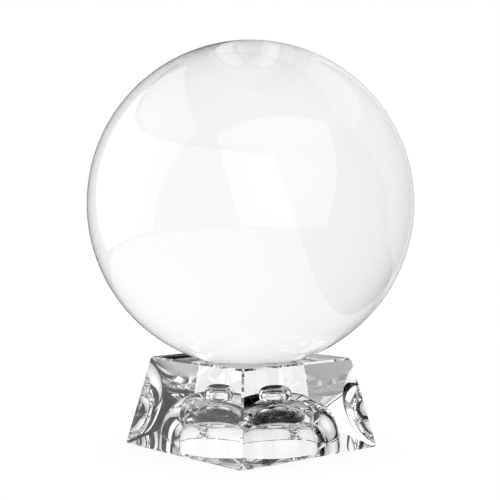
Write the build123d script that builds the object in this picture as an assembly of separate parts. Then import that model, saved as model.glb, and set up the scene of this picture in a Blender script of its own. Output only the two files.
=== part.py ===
"""Clear glass crystal ball resting on a moulded glass stand.

The stand is a low square block whose sides lean in towards the top.  Its edges are ground, its top
has a shallow round seat for the ball, and its underside has a round moulded hollow with a small
step in the middle of its ceiling.  The ball is a solid sphere that simply rests in the seat.

Frame: +Z is up, the origin is the centre of the stand's base, and the stand's sides face X and Y.
"""
import math
import os

from build123d import *

# Driving dimensions, in millimetres.
ball_diameter = 110.0          # the solid sphere
base_side = 61.0               # stand's square footprint
top_side = 48.6                # stand's square top
stand_height = 30.0            # base to top
edge_grind = 0.6               # leg of the flat ground along every outer edge
seat_depth = 3.15              # how far the resting ball dips below the stand's top
seat_gap = 0.15                # air film between the ball and its seat
hollow_mouth_radius = 25.3     # moulded hollow at the underside
hollow_height = 15.7           # height of the hollow's ceiling above the base
hollow_fullness = 2.5          # 2 is a plain ellipse, and more is squarer in its corner
hollow_points = 13             # points of the formula that the hollow's curve is drawn through
step_radius = 6.6              # small round step in the middle of the ceiling
step_height = 3.0              # step above the ceiling beside it
step_corner_radius = 2.6       # round at the step's top edge

# Sizes that follow from them.
ball_radius = ball_diameter / 2
ball_centre_z = stand_height - seat_depth + ball_radius
seat_radius = ball_radius + seat_gap
side_slope = math.degrees(math.atan((base_side - top_side) / 2 / stand_height))


def make_ball():
    """A plain solid sphere, at rest on the stand."""
    return Pos(0, 0, ball_centre_z) * Sphere(ball_radius)


def make_blank():
    """The stand's outer block: a square frustum with every edge ground flat."""
    base = Rectangle(base_side, base_side)
    top = Pos(0, 0, stand_height) * Rectangle(top_side, top_side)
    block = loft([base.face(), top.face()], ruled=True)
    return chamfer(block.edges(), edge_grind)


def hollow_z(radius):
    """Height of the hollow's surface at a radius: (r/a)^n + (z/b)^n = 1, a full-bodied ellipse."""
    share = 1 - (radius / hollow_mouth_radius) ** hollow_fullness
    return hollow_height * max(share, 0.0) ** (1 / hollow_fullness)


def make_hollow():
    """The moulded hollow: one smooth curve from the middle of the ceiling to an upright wall, spun round."""
    quarter = [math.pi / 2 * i / (hollow_points - 1) for i in range(hollow_points)]
    radii = [hollow_mouth_radius * math.sin(t) ** (2 / hollow_fullness) for t in quarter]
    curve = [(radius, hollow_z(radius)) for radius in radii]
    with BuildSketch(Plane.XZ) as section:
        with BuildLine():
            Spline(*curve, tangents=((1, 0), (0, -1)))
            Line((hollow_mouth_radius, 0), (0, 0))
            Line((0, 0), (0, hollow_height))
        make_face()
    return revolve(section.sketch, Axis.Z)


def make_step():
    """The small round step in the middle of the hollow's ceiling."""
    top_z = hollow_z(step_radius) + step_height
    height = top_z - hollow_height / 2
    plug = Pos(0, 0, top_z - height / 2) * Cylinder(step_radius, height)
    return fillet(plug.edges().sort_by(Axis.Z)[-1], step_corner_radius)


def make_stand():
    """The finished glass stand."""
    seat = Pos(0, 0, ball_centre_z) * Sphere(seat_radius)
    return make_blank() - seat - (make_hollow() + make_step())


def main():
    os.makedirs("parts", exist_ok=True)
    pieces = {"crystal_ball": make_ball(), "crystal_stand": make_stand()}
    for node, shape in pieces.items():
        export_step(shape, f"parts/{node}.step")
    print(f"side slope {side_slope:.2f} degrees, ball centre {ball_centre_z:.2f} mm")


main()
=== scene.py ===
"""Crystal ball on a pressed glass stand: the looks, built around the packed model.

The ball and the stand are new surfaces that take the place of the two packed nodes.  The studio
looks white to a direct view and through the glass.  Once light has been reflected it sees three
tall softboxes, a floor and dark gaps instead, which give the glass its bands.
"""

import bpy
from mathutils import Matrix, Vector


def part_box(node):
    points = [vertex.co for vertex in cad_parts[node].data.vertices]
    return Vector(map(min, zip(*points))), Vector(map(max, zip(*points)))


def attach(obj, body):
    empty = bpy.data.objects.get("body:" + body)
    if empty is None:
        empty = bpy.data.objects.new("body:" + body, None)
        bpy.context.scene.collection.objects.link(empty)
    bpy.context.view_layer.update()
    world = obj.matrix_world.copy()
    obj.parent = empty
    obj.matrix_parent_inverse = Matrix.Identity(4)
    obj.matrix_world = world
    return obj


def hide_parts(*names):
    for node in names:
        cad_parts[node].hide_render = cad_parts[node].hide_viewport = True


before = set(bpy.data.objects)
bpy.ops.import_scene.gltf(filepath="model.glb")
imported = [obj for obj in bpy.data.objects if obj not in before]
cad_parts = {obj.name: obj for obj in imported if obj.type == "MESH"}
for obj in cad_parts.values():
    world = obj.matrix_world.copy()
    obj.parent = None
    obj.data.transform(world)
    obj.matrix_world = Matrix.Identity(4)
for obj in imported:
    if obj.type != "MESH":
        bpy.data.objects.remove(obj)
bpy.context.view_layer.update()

import math

import bpy
import numpy as np
from bpy.props import FloatProperty, FloatVectorProperty, IntProperty, PointerProperty
from bpy.types import Operator, Panel, PropertyGroup

bl_info = {
    "name": "Crystal Ball on Stand",
    "version": (1, 0, 0),
    "blender": (4, 5, 0),
    "location": "View3D > Sidebar > Crystal Ball",
    "description": "Makes a clear glass ball, its pressed glass stand and a white studio",
    "category": "Add Mesh",
}

MM = 0.001
BALL_LOW, BALL_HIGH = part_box("crystal_ball")
STAND_LOW, STAND_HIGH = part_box("crystal_stand")
BALL_CENTRE_Z = (BALL_LOW.z + BALL_HIGH.z) / 2


# ---------------------------------------------------------------------------------------------
# Sizes and colours
# ---------------------------------------------------------------------------------------------


def length(name, description, default):
    """A length in metres that shows in the panel with its unit."""
    return FloatProperty(name=name, description=description, default=default, min=0.0,
                         precision=5, subtype="DISTANCE", unit="LENGTH")


def angle(name, description, degrees):
    """An angle that shows in the panel in degrees."""
    return FloatProperty(name=name, description=description, default=math.radians(degrees),
                         subtype="ANGLE", unit="ROTATION")


def number(name, description, default):
    """A plain number."""
    return FloatProperty(name=name, description=description, default=default, precision=4)


class BallSizes(PropertyGroup):
    """Sizes of the ball."""

    diameter: length("Diameter", "Across the solid sphere", BALL_HIGH.z - BALL_LOW.z)
    facets_around: IntProperty(name="Around", description="Faces round the ball", default=384)
    facets_down: IntProperty(name="Down", description="Faces from pole to pole", default=192)


class StandSizes(PropertyGroup):
    """Sizes of the stand."""

    base_side: length("Base", "Side of the square base, before its edges are ground", 61.0 * MM)
    top_side: length("Top", "Side of the square top, before its edges are ground", 48.6 * MM)
    height: length("Height", "Base to top", STAND_HIGH.z - STAND_LOW.z)
    edge_grind: length("Ground edge", "Leg of the flat ground along each edge", 0.6 * MM)
    seat_gap: length("Seat gap", "Air film between the ball and its seat", 0.15 * MM)
    hollow_radius: length("Hollow radius", "Radius of the hollow's mouth", 25.3 * MM)
    hollow_height: length("Hollow height", "Ceiling of the hollow above the base", 15.7 * MM)
    hollow_fullness: number("Fullness", "2 is an ellipse, and more is squarer in its corner", 2.5)
    step_radius: length("Step radius", "Round step in the hollow's ceiling", 6.6 * MM)
    step_height: length("Step height", "Step above the ceiling beside it", 3.0 * MM)
    step_round: length("Step round", "Round at the step's top edge", 2.6 * MM)
    columns_per_side: IntProperty(name="Columns", description="Faces along each side", default=72)


class GlassFinish(PropertyGroup):
    """Colours and finish of the two glass pieces."""

    ball_index: number("Ball index", "Refractive index of the ball's glass", 1.517)
    stand_index: number("Stand index", "Refractive index of the stand's glass", 1.585)
    absorption: number("Absorption", "Density of the glass's absorption, per metre", 0.45)
    body_colour: FloatVectorProperty(name="Body colour", description="Glass seen through its depth",
                                     subtype="COLOR", default=(0.30, 0.36, 0.38), min=0, max=1)
    clear_colour: FloatVectorProperty(name="Clear colour", description="Clean polished surface",
                                      subtype="COLOR", default=(1.0, 1.0, 1.0), min=0, max=1)
    film_colour: FloatVectorProperty(name="Film colour", description="Surface with a faint film of handling",
                                     subtype="COLOR", default=(0.985, 0.988, 0.99), min=0, max=1)


class StudioSizes(PropertyGroup):
    """Camera, floor and softboxes."""

    camera_turn: angle("Camera turn", "Camera's place round the stand, from its front side", 48.88)
    camera_distance: length("Camera distance", "From the stand's middle line", 0.40294)
    camera_height: length("Camera height", "Above the floor", 0.07675)
    camera_aside: FloatProperty(name="Camera aside", description="To the right of the middle line",
                                default=-0.00017, precision=5, subtype="DISTANCE", unit="LENGTH")
    camera_tilt: angle("Camera tilt", "Below level", 1.4725)
    lens: number("Lens", "Focal length in millimetres", 85.56)
    floor_side: length("Floor", "Side of the square floor", 6.0)
    floor_colour: FloatVectorProperty(name="Floor colour", description="Plain pale sweep",
                                      subtype="COLOR", default=(1.0, 1.0, 1.0), min=0, max=1)


# ---------------------------------------------------------------------------------------------
# Shader wiring
# ---------------------------------------------------------------------------------------------


class Wire:
    """A shader socket that takes part in sums: each sum adds a Math node."""

    def __init__(self, bench, socket):
        self.bench = bench
        self.socket = socket

    def __add__(self, other):
        return self.bench.maths("ADD", self, other)

    def __sub__(self, other):
        return self.bench.maths("SUBTRACT", self, other)

    def __mul__(self, other):
        return self.bench.maths("MULTIPLY", self, other)

    def __truediv__(self, other):
        return self.bench.maths("DIVIDE", self, other)

    def __gt__(self, other):
        return self.bench.maths("GREATER_THAN", self, other)

    def __lt__(self, other):
        return self.bench.maths("LESS_THAN", self, other)

    def __abs__(self):
        return self.bench.maths("ABSOLUTE", self)

    def __rsub__(self, other):
        return self.bench.maths("SUBTRACT", other, self)

    def clipped(self):
        """This value kept between 0 and 1."""
        return self.bench.maths("MINIMUM", self.bench.maths("MAXIMUM", self, 0.0), 1.0)

    def exp(self):
        """e to the power of this value."""
        return self.bench.maths("EXPONENT", self)


class Bench:
    """Adds nodes to one node tree and wires them as they are added."""

    def __init__(self, tree):
        self.tree = tree
        tree.nodes.clear()

    def node(self, kind, settings=None, sockets=None):
        """One node of a kind: its settings first, then a value or a wire for each socket."""
        made = self.tree.nodes.new(kind)
        for name, value in (settings or {}).items():
            setattr(made, name, value)
        for name, value in (sockets or {}).items():
            if isinstance(value, Wire):
                self.tree.links.new(value.socket, made.inputs[name])
            else:
                made.inputs[name].default_value = value
        return made

    def wire(self, kind, output, settings=None, sockets=None):
        """The named output of one new node."""
        return Wire(self, self.node(kind, settings, sockets).outputs[output])

    def maths(self, operation, *values):
        """One Math node on numbers and wires."""
        return self.wire("ShaderNodeMath", "Value", {"operation": operation}, dict(enumerate(values)))

    def along(self, direction, axis):
        """How far a direction goes along an axis: their dot product."""
        return self.wire("ShaderNodeVectorMath", "Value", {"operation": "DOT_PRODUCT"},
                         {0: direction, 1: axis})

    def blend(self, share, colour_a, colour_b):
        """Colour a where share is 0 and colour b where it is 1."""
        made = self.node("ShaderNodeMix", {"data_type": "RGBA"}, {0: share, 6: colour_a, 7: colour_b})
        return Wire(self, made.outputs[2])


def opaque(colour):
    """A colour with the fourth number that shader sockets take."""
    return (*colour, 1.0)


# ---------------------------------------------------------------------------------------------
# Materials
# ---------------------------------------------------------------------------------------------

FILM_PATCH = 24 * MM      # size of the soft patches of handling film
FILM_START = 0.52         # the film begins where its noise is above this
FILM_GAIN = 6.0           # how quickly the film thickens above that
FILM_ROUGHNESS = 0.003
RIPPLE_SIZE = 5 * MM      # from wave to wave in the mould's ripple
FLOOR_GRAIN = 900.0       # grains to a metre
FLOOR_GREYS = ((0.20, 0.20, 0.20, 1), (0.23, 0.23, 0.23, 1))
FLOOR_GLOW = 0.82         # light that the floor gives off by itself


def glass_material(name, index, waviness, wave_size, pressed=0.0, ground=0.0):
    """Clear glass, for the ball or for the stand.

    The body takes a little light with depth.  The polished surface has a faint film of handling,
    which is a shade duller and less sharp in soft patches, and slow waves left by the polisher.
    Where the mesh says pressed, the surface has the closer ripple of a mould.  Where it says
    ground, it is a flat cut by the wheel, less sharp than the rest.
    """
    finish = bpy.context.scene.glass_finish
    material = bpy.data.materials.new(name)
    material.use_nodes = True
    bench = Bench(material.node_tree)
    place = bench.wire("ShaderNodeTexCoord", "Object")

    def noise(size, detail):
        return bench.wire("ShaderNodeTexNoise", "Fac", None,
                          {"Vector": place, "Scale": 1 / size, "Detail": detail, "Roughness": 0.5})

    film = ((noise(FILM_PATCH, detail=3.0) - FILM_START) * FILM_GAIN).clipped()
    roughness = film * FILM_ROUGHNESS
    height = noise(wave_size, detail=1.0) * waviness
    if ground:
        cut = bench.wire("ShaderNodeAttribute", "Fac", {"attribute_name": "ground"})
        roughness = roughness + cut * ground
    if pressed:
        mould = bench.wire("ShaderNodeAttribute", "Fac", {"attribute_name": "pressed"})
        height = height + mould * noise(RIPPLE_SIZE, detail=2.0) * pressed
    colour = bench.blend(film, opaque(finish.clear_colour), opaque(finish.film_colour))
    normal = bench.wire("ShaderNodeBump", "Normal", None,
                        {"Strength": 1.0, "Distance": 1.0, "Height": height})
    surface = bench.wire("ShaderNodeBsdfPrincipled", "BSDF", None, {
        "Base Color": colour, "Roughness": roughness, "Normal": normal,
        "IOR": index, "Transmission Weight": 1.0})
    body = bench.wire("ShaderNodeVolumeAbsorption", "Volume", None, {
        "Color": opaque(finish.body_colour), "Density": finish.absorption})
    bench.node("ShaderNodeOutputMaterial", None, {"Surface": surface, "Volume": body})
    return material


def floor_material():
    """A plain pale sweep, lit so evenly that hardly any shadow shows."""
    colour = opaque(bpy.context.scene.studio_sizes.floor_colour)
    material = bpy.data.materials.new("pale_sweep")
    material.use_nodes = True
    bench = Bench(material.node_tree)
    place = bench.wire("ShaderNodeTexCoord", "Object")
    grain = bench.wire("ShaderNodeTexNoise", "Fac", None, {"Vector": place, "Scale": FLOOR_GRAIN})
    bench.node("ShaderNodeOutputMaterial", None, {"Surface": bench.wire(
        "ShaderNodeBsdfPrincipled", "BSDF", None, {
            "Base Color": bench.blend(grain, *FLOOR_GREYS),
            "Roughness": 0.9, "Specular IOR Level": 0.0,
            "Emission Color": colour, "Emission Strength": FLOOR_GLOW})})
    return material


# ---------------------------------------------------------------------------------------------
# Surfaces
# ---------------------------------------------------------------------------------------------

TIP_SHARE = 0.6                 # corner cut of the top's and base's outlines, in ground edges
STEP_TOP_RINGS = (0.66, 0.33)   # rings of points on the step's flat top, as shares of its radius
SHARP_ANGLE = math.radians(10)  # a steeper turn between faces shows as an edge
HOLLOW_TOP_SHARE = 0.7          # the hollow and step stay below this share of the height
MAIN_FACE_FACING = 0.95         # main faces look along an axis at least this squarely
EDGE_START_SHARE = 0.9          # ground edges lie beyond this share of the top's half side


def ring_walls(ring_count, columns):
    """Four-cornered faces between neighbouring rings of points, numbered ring by ring from 1."""
    ring, column = np.meshgrid(np.arange(ring_count - 1), np.arange(columns), indexing="ij")
    after = (column + 1) % columns
    upper = 1 + ring * columns
    lower = upper + columns
    return np.stack([upper + column, lower + column, lower + after, upper + after], -1).reshape(-1, 4)


def closed_skin(name, first_pole, rings, last_pole):
    """A closed mesh from one pole, through rings of equally many points, to the other pole."""
    ring_count, columns = rings.shape[:2]
    points = np.concatenate([[first_pole], rings.reshape(-1, 3), [last_pole]])
    column = np.arange(columns)
    after = (column + 1) % columns
    last_ring = 1 + (ring_count - 1) * columns
    end = np.full(columns, len(points) - 1)
    cap = np.stack([np.zeros(columns, int), 1 + column, 1 + after], -1)
    close = np.stack([last_ring + column, end, last_ring + after], -1)
    walls = ring_walls(ring_count, columns)
    mesh = bpy.data.meshes.new(name)
    mesh.from_pydata(points.tolist(), [], cap.tolist() + walls.tolist() + close.tolist())
    mesh.polygons.foreach_set("use_smooth", np.ones(len(mesh.polygons), bool))
    mesh.update()
    return mesh


def ball_mesh(sizes):
    """A sphere by two angles: x = r sin(down) cos(round), y = r sin(down) sin(round), z = r cos(down)."""
    radius = sizes.diameter / 2
    down = np.linspace(0, np.pi, sizes.facets_down + 1)[1:-1, None]
    turn = np.arange(sizes.facets_around)[None, :] * 2 * np.pi / sizes.facets_around
    rings = radius * np.stack([np.sin(down) * np.cos(turn), np.sin(down) * np.sin(turn),
                               np.cos(down) * np.ones_like(turn)], -1)
    rings[..., 2] += BALL_CENTRE_Z
    top = (0, 0, BALL_CENTRE_Z + radius)
    bottom = (0, 0, BALL_CENTRE_Z - radius)
    return closed_skin("crystal_ball_glass", top, rings, bottom)


def square_ring(half_side, cut, height, steps):
    """A square outline with its corners cut: each side runs straight between two cuts, four times turned."""
    straight = np.linspace(-1, 1, steps + 1) * (half_side - cut)
    side = np.stack([np.full(steps + 1, half_side), straight], -1)
    quarter = np.arange(4)[:, None] * np.pi / 2
    x = side[:, 0] * np.cos(quarter) - side[:, 1] * np.sin(quarter)
    y = side[:, 0] * np.sin(quarter) + side[:, 1] * np.cos(quarter)
    return np.stack([x, y, np.full_like(x, height)], -1).reshape(1, -1, 3)


def round_rings(radii, heights, turns):
    """Circles of given radii and heights, with points at the given turns: r cos(turn), r sin(turn), z."""
    radii = np.asarray(radii)[:, None]
    heights = np.asarray(heights)[:, None] * np.ones_like(turns)
    return np.stack([radii * np.cos(turns), radii * np.sin(turns), heights], -1)


def seat_curve(ball_radius, gap, stand_height, steps=16):
    """The seat's arc about the ball's centre, from its bottom out to the stand's top."""
    radius = ball_radius + gap
    reach = math.acos((BALL_CENTRE_Z - stand_height) / radius)
    tilt = np.linspace(0, reach, steps + 1)[1:]
    return radius * np.sin(tilt), BALL_CENTRE_Z - radius * np.cos(tilt)


def hollow_curve(sizes, steps=110):
    """The hollow's section from its mouth to the step, in evenly spaced points.

    r = a sin(t)^(2/n) and z = b cos(t)^(2/n), for a radius a, a height b and a fullness n.
    """
    power = 2 / sizes.hollow_fullness
    start = math.asin((sizes.step_radius / sizes.hollow_radius) ** (1 / power))
    fine = np.linspace(np.pi / 2, start, 40 * steps)
    radii = sizes.hollow_radius * np.sin(fine) ** power
    heights = sizes.hollow_height * np.clip(np.cos(fine), 0, 1) ** power
    travelled = np.concatenate([[0], np.cumsum(np.hypot(np.diff(radii), np.diff(heights)))])
    even = np.linspace(0, travelled[-1], steps + 1)
    return np.interp(even, travelled, radii), np.interp(even, travelled, heights)


def step_curve(sizes, foot_height, steps=14):
    """The step's section: an upright wall, a quarter round and a flat top, from its foot inwards."""
    top = foot_height + sizes.step_height
    turn = np.linspace(0, np.pi / 2, steps + 1)
    radii = sizes.step_radius - sizes.step_round * (1 - np.cos(turn))
    heights = top - sizes.step_round * (1 - np.sin(turn))
    flat = np.array(STEP_TOP_RINGS) * radii[-1]
    return np.concatenate([radii, flat]), np.concatenate([heights, [top, top]])


def stand_mesh(sizes, ball_radius):
    """The stand as one closed skin: seat, top, ground edges, leaning sides, base, hollow and step."""
    grind = sizes.edge_grind
    lean = math.atan((sizes.base_side - sizes.top_side) / 2 / sizes.height)
    rise = grind * math.cos(lean)
    run = grind * math.sin(lean)
    steps = sizes.columns_per_side
    tip = TIP_SHARE * grind
    outline = [
        square_ring(sizes.top_side / 2 - grind, tip, sizes.height, steps),
        square_ring(sizes.top_side / 2 + run, grind, sizes.height - rise, steps),
        square_ring(sizes.base_side / 2 - run, grind, rise, steps),
        square_ring(sizes.base_side / 2 - grind, tip, 0.0, steps),
    ]
    base_ring = outline[2][0]
    turns = np.arctan2(base_ring[:, 1], base_ring[:, 0])[None, :]
    seat = seat_curve(ball_radius, sizes.seat_gap, sizes.height)
    hollow = hollow_curve(sizes)
    step = step_curve(sizes, hollow[1][-1])
    rings = np.concatenate([round_rings(*seat, turns), *outline, round_rings(*hollow, turns),
                            round_rings(*step, turns)])
    seat_bottom = BALL_CENTRE_Z - ball_radius - sizes.seat_gap
    mesh = closed_skin("crystal_stand_glass", (0, 0, seat_bottom), rings, (0, 0, step[1][-1]))
    mesh.set_sharp_from_angle(angle=SHARP_ANGLE)
    mark_finishes(mesh, sizes)
    return mesh


def mark_finishes(mesh, sizes):
    """Says which faces are pressed by the mould and which are ground flat along an edge."""
    count = len(mesh.polygons)
    middle = np.empty(count * 3)
    facing = np.empty(count * 3)
    mesh.polygons.foreach_get("center", middle)
    mesh.polygons.foreach_get("normal", facing)
    middle = middle.reshape(-1, 3)
    facing = np.abs(facing.reshape(-1, 3))
    from_axis = np.hypot(middle[:, 0], middle[:, 1])
    hollow_top = HOLLOW_TOP_SHARE * sizes.height
    inside = (from_axis < sizes.hollow_radius) & (middle[:, 2] < hollow_top) & (middle[:, 2] > 0)
    main_face = facing.max(1) > MAIN_FACE_FACING
    ground = ~inside & ~main_face & (from_axis > EDGE_START_SHARE * sizes.top_side / 2)
    for name, where in (("pressed", inside), ("ground", ground)):
        mark = mesh.attributes.new(name, "FLOAT", "FACE")
        mark.data.foreach_set("value", where.astype(np.float32))


# ---------------------------------------------------------------------------------------------
# Pieces
# ---------------------------------------------------------------------------------------------


def place_piece(name, mesh, material, body, node):
    """Shows a finished mesh, moving with a body, in place of a packed node."""
    piece = bpy.data.objects.new(name, mesh)
    bpy.context.scene.collection.objects.link(piece)
    mesh.materials.append(material)
    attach(piece, body)
    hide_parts(node)


class CRYSTAL_OT_ball(Operator):
    """Make the solid glass ball"""

    bl_idname = "crystal.ball"
    bl_label = "Make Ball"

    def execute(self, context):
        glass = glass_material("ball_polished_crystal", context.scene.glass_finish.ball_index,
                               waviness=0.0012 * MM, wave_size=30 * MM)
        mesh = ball_mesh(context.scene.ball_sizes)
        place_piece("ball_glass", mesh, glass, "ball", "crystal_ball")
        return {"FINISHED"}


class CRYSTAL_OT_stand(Operator):
    """Make the pressed glass stand"""

    bl_idname = "crystal.stand"
    bl_label = "Make Stand"

    def execute(self, context):
        glass = glass_material("stand_pressed_crystal", context.scene.glass_finish.stand_index,
                               waviness=0.0006 * MM, wave_size=14 * MM, pressed=0.0008 * MM, ground=0.02)
        mesh = stand_mesh(context.scene.stand_sizes, context.scene.ball_sizes.diameter / 2)
        place_piece("stand_glass", mesh, glass, "stand", "crystal_stand")
        return {"FINISHED"}


# ---------------------------------------------------------------------------------------------
# Studio
# ---------------------------------------------------------------------------------------------

# Softboxes: clockwise turn from straight behind the stand as the camera sees it, brightness in
# the middle and at the corners, and how high the middle of the glow is above the box's foot line.
SOFTBOXES = (
    {"turn": 157.0, "middle": 1.8, "corner": 1.1, "glow_height": 0.4},
    {"turn": -80.0, "middle": 1.45, "corner": 0.8, "glow_height": 0.5},
    {"turn": 38.0, "middle": 1.1, "corner": 0.4, "glow_height": 0.6},
)
BOX_FOOT = -0.28          # lower edge of a leaning softbox, seen from the stand at distance 1
BOX_HEAD = 1.68           # upper edge, which leans in over the stand
BOX_HALF_WIDTH = 0.67     # half its width at the stand's level
BOX_SPREAD = 0.38         # how much wider it looks for each unit higher
FLOOR_BELOW = -0.2867     # directions steeper than this meet the floor
BOX_IN_FRONT = 0.05       # directions less toward a box's plane than this never meet it
GLOW_FALLOFF = 1.8        # how fast a box's glow fades from its middle
FLOOR_BRIGHT_TURN = -120.0  # the turn toward which the floor is brightest
FLOOR_BRIGHT = 0.52
FLOOR_DARK = 0.02
FLOOR_RAMP = 1.25         # how fast the floor brightens toward that turn
FLOOR_HALFWAY = 0.5       # share of the way to bright, square to that turn
LIGHT_BOUNCES = 32


def turned_axis(turn):
    """The level direction at a clockwise turn from straight behind the stand, as the camera sees it."""
    bearing = math.radians(turn) - bpy.context.scene.studio_sizes.camera_turn
    return (math.sin(bearing), math.cos(bearing), 0.0)


def softbox_light(bench, direction, box, light):
    """The light so far, with one leaning softbox laid over it.

    Seen from the stand, a direction meets the box's plane at across and up.  It is in the box where
    up is between foot and head, and across is within the half width, which grows with up.  The
    glow falls off from the middle as e to the minus falloff times the square of the distance.
    """
    ahead = bench.along(direction, turned_axis(box["turn"]))
    across = bench.along(direction, turned_axis(box["turn"] + 90)) / ahead
    up = bench.along(direction, (0.0, 0.0, 1.0)) / ahead
    half = up * BOX_SPREAD + BOX_HALF_WIDTH
    inside = (ahead > BOX_IN_FRONT) * (up > BOX_FOOT) * (up < BOX_HEAD) * (abs(across) < half)
    sideways = across / half
    upward = (up - box["glow_height"]) / ((BOX_HEAD - BOX_FOOT) / 2)
    glow = ((sideways * sideways + upward * upward) * -GLOW_FALLOFF).exp() * (box["middle"] - box["corner"])
    return light * (1 - inside) + (glow + box["corner"]) * inside


def studio_world():
    """White all round to a direct view and through the glass, and softboxes and a floor to reflections."""
    world = bpy.data.worlds.new("white_studio")
    world.use_nodes = True
    bpy.context.scene.world = world
    bench = Bench(world.node_tree)
    direction = bench.wire("ShaderNodeTexCoord", "Generated")
    below = bench.along(direction, (0.0, 0.0, 1.0)) < FLOOR_BELOW
    toward = bench.along(direction, turned_axis(FLOOR_BRIGHT_TURN))
    brightening = (toward * FLOOR_RAMP + FLOOR_HALFWAY).clipped()
    light = (brightening * (FLOOR_BRIGHT - FLOOR_DARK) + FLOOR_DARK) * below
    for box in SOFTBOXES:
        light = softbox_light(bench, direction, box, light)
    reflections = bench.wire("ShaderNodeLightPath", "Glossy Depth")
    mirrored = reflections > 0.5
    shown = light * mirrored + (1 - mirrored)
    sky = bench.wire("ShaderNodeBackground", "Background", None, {"Color": shown, "Strength": 1.0})
    bench.node("ShaderNodeOutputWorld", None, {"Surface": sky})


def pale_floor():
    """A large square floor, which the glass looks past."""
    half = bpy.context.scene.studio_sizes.floor_side / 2
    corners = [(-half, -half, 0), (half, -half, 0), (half, half, 0), (-half, half, 0)]
    mesh = bpy.data.meshes.new("floor")
    mesh.from_pydata(corners, [], [(0, 1, 2, 3)])
    mesh.materials.append(floor_material())
    floor = bpy.data.objects.new("floor", mesh)
    bpy.context.scene.collection.objects.link(floor)
    floor.visible_glossy = False
    floor.visible_transmission = False


def aim_camera():
    """The camera a little below the ball's middle, facing a corner of the stand and tilted down."""
    sizes = bpy.context.scene.studio_sizes
    lens = bpy.data.cameras.new("camera")
    lens.sensor_width = 36.0
    lens.lens = sizes.lens
    lens.clip_start = 0.01
    camera = bpy.data.objects.new("camera", lens)
    turn = sizes.camera_turn
    aside, back = sizes.camera_aside, sizes.camera_distance
    camera.location = (aside * math.cos(turn) + back * math.sin(turn),
                       aside * math.sin(turn) - back * math.cos(turn), sizes.camera_height)
    camera.rotation_euler = (math.pi / 2 - sizes.camera_tilt, 0.0, turn)
    bpy.context.scene.collection.objects.link(camera)
    bpy.context.scene.camera = camera


class CRYSTAL_OT_studio(Operator):
    """Set up the white studio, its floor and the camera"""

    bl_idname = "crystal.studio"
    bl_label = "Set Up Studio"

    def execute(self, context):
        studio_world()
        pale_floor()
        aim_camera()
        scene = context.scene
        scene.view_settings.view_transform = "Standard"
        scene.cycles.max_bounces = LIGHT_BOUNCES
        scene.cycles.transmission_bounces = LIGHT_BOUNCES
        scene.cycles.glossy_bounces = LIGHT_BOUNCES
        return {"FINISHED"}


class CRYSTAL_PT_panel(Panel):
    """Sizes, colours and the steps that make the object"""

    bl_idname = "CRYSTAL_PT_panel"
    bl_label = "Crystal Ball"
    bl_space_type = "VIEW_3D"
    bl_region_type = "UI"
    bl_category = "Crystal Ball"

    def draw(self, context):
        for group in GROUPS:
            box = self.layout.box()
            box.label(text=GROUPS[group].__doc__)
            for name in GROUPS[group].__annotations__:
                box.prop(getattr(context.scene, group), name)
        for step in STEPS:
            self.layout.operator(step.bl_idname)


GROUPS = {"ball_sizes": BallSizes, "stand_sizes": StandSizes, "glass_finish": GlassFinish,
          "studio_sizes": StudioSizes}
STEPS = (CRYSTAL_OT_studio, CRYSTAL_OT_ball, CRYSTAL_OT_stand)
CLASSES = (*GROUPS.values(), *STEPS, CRYSTAL_PT_panel)


def register():
    for each in CLASSES:
        bpy.utils.register_class(each)
    for name, group in GROUPS.items():
        setattr(bpy.types.Scene, name, PointerProperty(type=group))


def unregister():
    for name in GROUPS:
        delattr(bpy.types.Scene, name)
    for each in reversed(CLASSES):
        bpy.utils.unregister_class(each)


def main():
    register()
    bpy.ops.crystal.studio()
    bpy.ops.crystal.ball()
    bpy.ops.crystal.stand()


if __name__ == "__main__":
    main()
